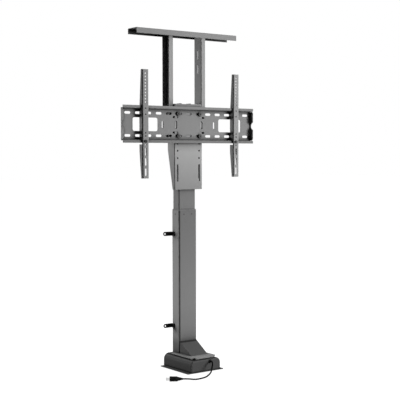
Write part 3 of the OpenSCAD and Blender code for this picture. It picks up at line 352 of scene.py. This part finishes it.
def painted_light_band(tree, place, axis, bands):
    """Painted light and shade that follows a height or another axis: pairs of a place in mm and a
    factor
    """
    split = add_node(tree, "ShaderNodeSeparateXYZ")
    tree.links.new(place, split.inputs[0])
    curve = add_node(tree, "ShaderNodeFloatCurve")
    low, high = bands[0][0], bands[-1][0]
    spread = add_node(tree, "ShaderNodeMapRange")
    spread.inputs["From Min"].default_value = low * MM
    spread.inputs["From Max"].default_value = high * MM
    tree.links.new(split.outputs[axis], spread.inputs["Value"])
    points = curve.mapping.curves[0].points
    while len(points) < len(bands):
        points.new(0.5, 0.5)
    for point, (along, factor) in zip(points, bands):
        point.location = ((along - low) / (high - low), factor / BAND_RANGE)
        point.handle_type = "VECTOR"
    curve.mapping.update()
    tree.links.new(spread.outputs["Result"], curve.inputs["Value"])
    whole = add_node(tree, "ShaderNodeMath", operation="MULTIPLY")
    tree.links.new(curve.outputs[0], whole.inputs[0])
    whole.inputs[1].default_value = BAND_RANGE
    return whole.outputs[0]


CLOUD_SCALE = 9
CLOUD_DETAIL = 4
GRAIN_DETAIL = 3
GRAIN_HEIGHT = 0.0004
GLOSS_SPREAD = 0.05


def mottled(name, gray, spread, roughness, grain, metallic=0.0, specular=0.5, bump=0.05,
            tint=(1, 1, 1), painted_shade=None, bands=()):
    """A surface whose colour, roughness and height vary in fine grain and in broad clouds, and whose
    colour may also carry painted shade and bands of painted light and shade
    """
    material = bpy.data.materials.new(name)
    material.use_nodes = True
    tree = material.node_tree
    shader = tree.nodes["Principled BSDF"]
    place = add_node(tree, "ShaderNodeTexCoord")
    clouds = add_node(tree, "ShaderNodeTexNoise")
    fine = add_node(tree, "ShaderNodeTexNoise")
    tone = add_node(tree, "ShaderNodeMixRGB")
    gloss = add_node(tree, "ShaderNodeMapRange")
    relief = add_node(tree, "ShaderNodeBump")
    clouds.inputs["Scale"].default_value = CLOUD_SCALE
    clouds.inputs["Detail"].default_value = CLOUD_DETAIL
    fine.inputs["Scale"].default_value = grain
    fine.inputs["Detail"].default_value = GRAIN_DETAIL
    base = linear(gray)
    low, high = base * (1 - spread), base * (1 + spread)
    tone.inputs["Color1"].default_value = (*(low * t for t in tint), 1)
    tone.inputs["Color2"].default_value = (*(high * t for t in tint), 1)
    gloss.inputs["To Min"].default_value = roughness - GLOSS_SPREAD
    gloss.inputs["To Max"].default_value = roughness + GLOSS_SPREAD
    relief.inputs["Strength"].default_value = bump
    relief.inputs["Distance"].default_value = GRAIN_HEIGHT
    shader.inputs["Metallic"].default_value = metallic
    shader.inputs["Specular IOR Level"].default_value = specular
    tree.links.new(place.outputs["Object"], clouds.inputs["Vector"])
    tree.links.new(place.outputs["Object"], fine.inputs["Vector"])
    tree.links.new(clouds.outputs["Fac"], tone.inputs["Fac"])
    color = tone.outputs["Color"]
    # Painted shade in corners, bends and channels, where it is asked for
    if painted_shade:
        color = multiplied(tree, color, painted_recess_shade(tree, *painted_shade))
    # Bands of painted light and shade along the piece
    for axis, steps in bands:
        color = multiplied(tree, color, painted_light_band(tree, place.outputs["Object"], axis, steps))
    tree.links.new(color, shader.inputs["Base Color"])
    tree.links.new(fine.outputs["Fac"], gloss.inputs["Value"])
    tree.links.new(gloss.outputs["Result"], shader.inputs["Roughness"])
    tree.links.new(fine.outputs["Fac"], relief.inputs["Height"])
    tree.links.new(relief.outputs["Normal"], shader.inputs["Normal"])
    return material


PAINT_SPECULAR = 0.02
# Reach in mm and power of the painted shade in corners, bends and channels
COAT_PAINTED_SHADE = (45, 1.6)
BASE_PAINTED_SHADE = (12, 1)
LID_PAINTED_SHADE = (60, 6)
RAIL_PAINTED_SHADE = (24, 2.2)


def painted(name, gray, painted_shade=COAT_PAINTED_SHADE, **more):
    """Fine powder coat over sheet steel, with painted shade in its corners, bends and channels unless
    told otherwise
    """
    return mottled(name, gray, 0.03, 0.45, 1500, specular=PAINT_SPECULAR, bump=0.08,
                   painted_shade=painted_shade, **more)


materials = {
    # base_paint also carries the coat's painted shade in corners, bends and channels
    "base_paint": painted("base_paint", 70),
    "black_paint": mottled("black_paint", 24, 0.1, 0.4, 1200, specular=0.12, bump=0.1),
    "zinc_steel": mottled("zinc_steel", 135, 0.08, 0.6, 900, metallic=1.0, bump=0.08),
    "cast_aluminium": mottled("cast_aluminium", 185, 0.06, 0.5, 500, metallic=1.0, bump=0.3),
    "bronze": mottled("bronze", 200, 0.1, 0.35, 700, metallic=1.0, bump=0.1, tint=(1, 0.72, 0.38)),
    "ferrite": mottled("ferrite", 60, 0.1, 0.7, 700, bump=0.3),
    "guide_plastic": mottled("guide_plastic", 45, 0.08, 0.5, 1100, specular=0.3, bump=0.15),
    "black_plastic": mottled("black_plastic", 34, 0.12, 0.5, 1300, specular=0.06, bump=0.3),
    "cable_rubber": mottled("cable_rubber", 12, 0.1, 0.6, 1000, specular=0.02, bump=0.2),
    "plug_metal": mottled("plug_metal", 200, 0.05, 0.25, 800, metallic=1.0, bump=0.05),
    "pin_metal": mottled("pin_metal", 210, 0.05, 0.25, 800, metallic=1.0, bump=0.05,
                         tint=(1, 0.8, 0.45)),
}

# Coats whose tone changes along a piece. The factors come from the photograph's light and shade: pairs
# of a share of the node's height or width and a factor, or a side face's and its bend line's factor.

FACE_END = 0.15
LINE_START = 0.25
LINE_END = 0.8
BEND_END = 1.1


def span(name, axis):
    """A node's lowest and highest place along an axis, in mm"""
    return [corner["XYZ".index(axis)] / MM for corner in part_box(name)]


def along(name, axis, *steps):
    """Tones at shares of a node's length along an axis"""
    low, high = span(name, axis)
    return axis, [(low + share * (high - low), factor) for share, factor in steps]


def bend_steps(face, line):
    """Painted light and shade of a side face and of its bend line, at shares of a bend's radius, from
    a side face inwards
    """
    return [(0, face), (FACE_END, face), (LINE_START, line), (LINE_END, line), (BEND_END, 1)]


def painted_side_light(name, radius, low_tones=(1, 1), high_tones=(1, 1), axis="X"):
    """Painted light and shade on a node's two side faces and on the bends beside them, and 1 between
    them
    """
    low, high = span(name, axis)
    from_low = [(low + share * radius, factor) for share, factor in bend_steps(*low_tones)]
    from_high = [(high - share * radius, factor) for share, factor in bend_steps(*high_tones)]
    return axis, from_low + from_high[::-1]


housing_top = span("base_housing", "Z")[1]
rim_top = housing_top + 7
wedge_top = housing_top + 57
# The motor cover: its rim lighter, a painted highlight, and the top of its wedge where it meets the
# column darker, a painted shade
RIM_TONE = 2.9
WEDGE_LINE = 0.35
WEDGE_LINE_H = 6
# Painted light and shade on side faces and bend lines, pairs of a face's and its bend line's factor:
# the outer column's sides lighter, the other sides darker, the posts' webs darker, and most bend lines
# darker
COLUMN_SIDE_LIGHT = dict(low_tones=(1.38, 0.42), high_tones=(1.38, 0.85))
INNER_SIDE_SHADE = dict(low_tones=(0.94, 0.7), high_tones=(0.94, 0.92))
CARRIER_SIDE_SHADE = dict(low_tones=(0.7, 0.4), high_tones=(0.7, 0.9))
ARM_SIDE_SHADE = dict(low_tones=(0.62, 0.3), high_tones=(0.62, 1))
HOUSING_SIDE_SHADE = dict(low_tones=(0.78, 0.78), high_tones=(0.78, 0.78))
HOUSING_END_SHADE = dict(low_tones=(1, 0.45), high_tones=(1, 0.45))
POST_WEB_SHADE = (0.66, 0.5)

# The outer column's painted light and shade: darker at the foot and the top, lighter at mid height,
# with toned side faces and bend lines and painted shade in corners
COLUMN_PAINTED_LIGHT = [along("outer_column", "Z", (0, 0.5), (0.15, 0.55), (0.19, 0.95), (0.27, 1.12),
                      (0.4, 1.2), (0.6, 1.1), (1, 0.84)),
                painted_side_light("outer_column", 7, **COLUMN_SIDE_LIGHT)]
# The carrier's painted light and shade: darker towards the bottom, lighter at the top, with darker
# side faces and bend lines
CARRIER_TONES = [along("carrier_bracket", "Z", (0, 0.8), (0.26, 0.98), (0.53, 1.22), (1, 1.22)),
                 painted_side_light("carrier_bracket", 3.5, **CARRIER_SIDE_SHADE)]
# The rail's painted shade: darker towards its +X end and along its bottom lip, and in its corners and
# bends
RAIL_TONES = [along("rail_plate", "X", (0, 1), (0.5, 0.98), (1, 0.8)),
              along("rail_plate", "Z", (0, 0.82), (0.06, 0.82), (0.1, 1), (1, 1))]
# The lid bracket's painted shade: darker towards its +X end, and strong painted shade inside its
# channel
LID_TONES = [along("lid_bracket", "X", (0, 1), (0.5, 0.97), (1, 0.86))]
COVER_TONES = [("Z", [(housing_top, RIM_TONE), (rim_top, RIM_TONE), (rim_top + 1, 1),
                      (wedge_top - WEDGE_LINE_H, 1), (wedge_top - WEDGE_LINE_H + 1, WEDGE_LINE),
                      (wedge_top, WEDGE_LINE)])]
# The base housing's painted light and shade: darker side faces and end bend lines, darker at the foot,
# a lighter band below the top and a dark band at the top under the cover's rim
HOUSING_TONES = [painted_side_light("base_housing", 6, **HOUSING_SIDE_SHADE),
                 painted_side_light("base_housing", 6, **HOUSING_END_SHADE, axis="Y"),
                 along("base_housing", "Z", (0, 0.6), (0.08, 0.6), (0.12, 1), (0.8, 1), (0.84, 1.3),
                       (0.92, 1.3), (0.94, 0.4), (1, 0.4))]
COLLAR_TONES = [along("guide_collar", "Z", (0, 0.5), (0.86, 0.5), (0.9, 1), (1, 1))]

own_tones = {
    "outer_column": painted("outer_coat_painted_light", 122, bands=COLUMN_PAINTED_LIGHT),
    # The inner column: painted shade on its side faces, bend lines and corners
    "inner_column": painted("inner_coat_painted_shade", 122, bands=[painted_side_light("inner_column", 5, **INNER_SIDE_SHADE)]),
    "carrier_bracket": painted("carrier_paint", 158, bands=CARRIER_TONES),
    "rail_plate": painted("rail_paint", 140, painted_shade=RAIL_PAINTED_SHADE, bands=RAIL_TONES),
    "lid_bracket": painted("lid_paint", 147, painted_shade=LID_PAINTED_SHADE, bands=LID_TONES),
    # The arms: painted shade on their side faces, on the bend line at their low X side, and in corners
    "left_arm": painted("left_arm_paint", 147, bands=[painted_side_light("left_arm", 5, **ARM_SIDE_SHADE)]),
    "right_arm": painted("right_arm_paint", 147, bands=[painted_side_light("right_arm", 5, **ARM_SIDE_SHADE)]),
    # The posts: two copies of one coat that differ in gray and in painted shade; both webs darker, and
    # only the left post's channel darkened inside
    "left_post": painted("left_post_paint", 160, bands=[painted_side_light("left_post", 3, high_tones=POST_WEB_SHADE)]),
    "right_post": painted("right_post_paint", 156, painted_shade=None,
                          bands=[painted_side_light("right_post", 3, low_tones=POST_WEB_SHADE)]),
    "guide_collar": mottled("collar_tone", 118, 0.03, 0.5, 1300, specular=0.05, bump=0.1,
                            bands=COLLAR_TONES),
    "motor_cover": painted("cover_paint", 88, painted_shade=BASE_PAINTED_SHADE, bands=COVER_TONES),
    "base_housing": painted("housing_paint", 82, painted_shade=BASE_PAINTED_SHADE, bands=HOUSING_TONES),
    # The base plate: painted shade in its corners and along the housing's foot
    "base_plate": painted("plate_paint", 88, painted_shade=BASE_PAINTED_SHADE),
    # The post nuts: zinc darkened, painted shade that keeps them dark behind the rail's slots, and
    # painted shade in recesses
    "post_nuts": mottled("dark_zinc", 50, 0.1, 0.5, 900, metallic=1.0, bump=0.1, painted_shade=(20, 3)),
}

slot_of = {part["node"]: part["material_slot"] for part in frame["record"]["subparts"]}


def paint(piece, material):
    piece.data.materials.clear()
    piece.data.materials.append(material)


for name, node in nodes.items():
    finish = own_tones.get(name) or materials[slot_of[name]]
    if not node.material_slots:
        node.data.materials.append(None)
    for slot in node.material_slots:
        slot.material = finish
paint(cable, materials["cable_rubber"])
paint(plug, materials["black_plastic"])
paint(sleeve, materials["black_plastic"])

scene.view_settings.view_transform = "Standard"

bpy.context.view_layer.update()
